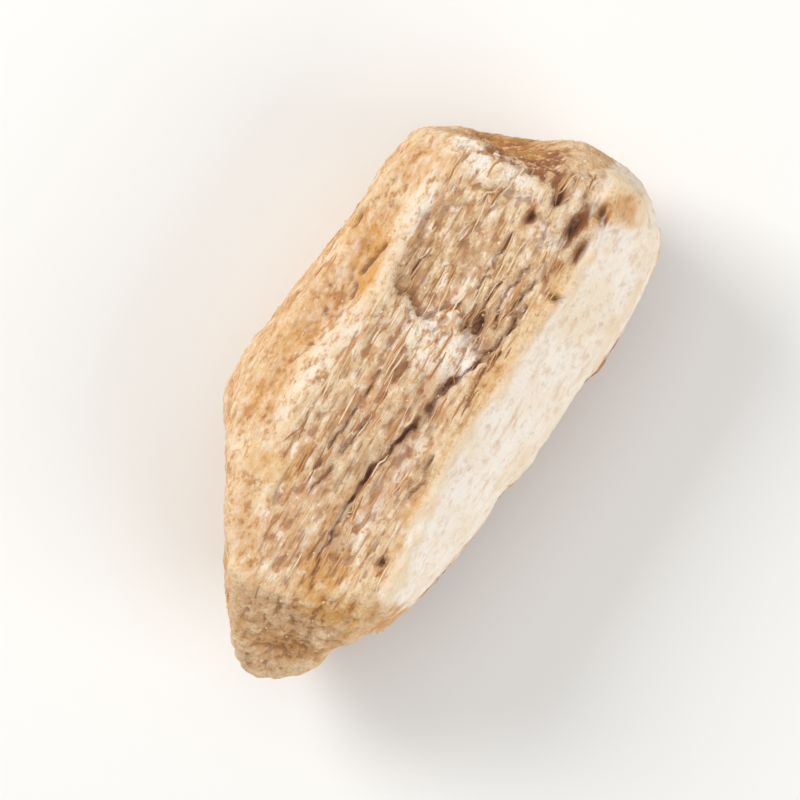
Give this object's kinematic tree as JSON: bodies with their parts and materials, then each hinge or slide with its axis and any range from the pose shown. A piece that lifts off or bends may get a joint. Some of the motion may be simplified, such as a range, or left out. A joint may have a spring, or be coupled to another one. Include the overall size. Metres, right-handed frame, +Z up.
{
  "type": "orris root",
  "caption": "Cut and dried piece of orris root with a split fibrous face, a pale starchy band and a rind with rootlet scars.",
  "frame": {"origin": "middle of the bounding box in plan, at the height of the surface that the piece rests on", "axes": "+Y along the root's fibres and the piece's length, +X towards the pale starchy band, +Z up, out of the split face"},
  "size_m": [0.0086, 0.0164, 0.0063],
  "materials": {
    "dried_root": "matte, dry and fibrous"
  },
  "bodies": {
    "root": {"orris_root": "dried_root"}
  },
  "joints": []
}
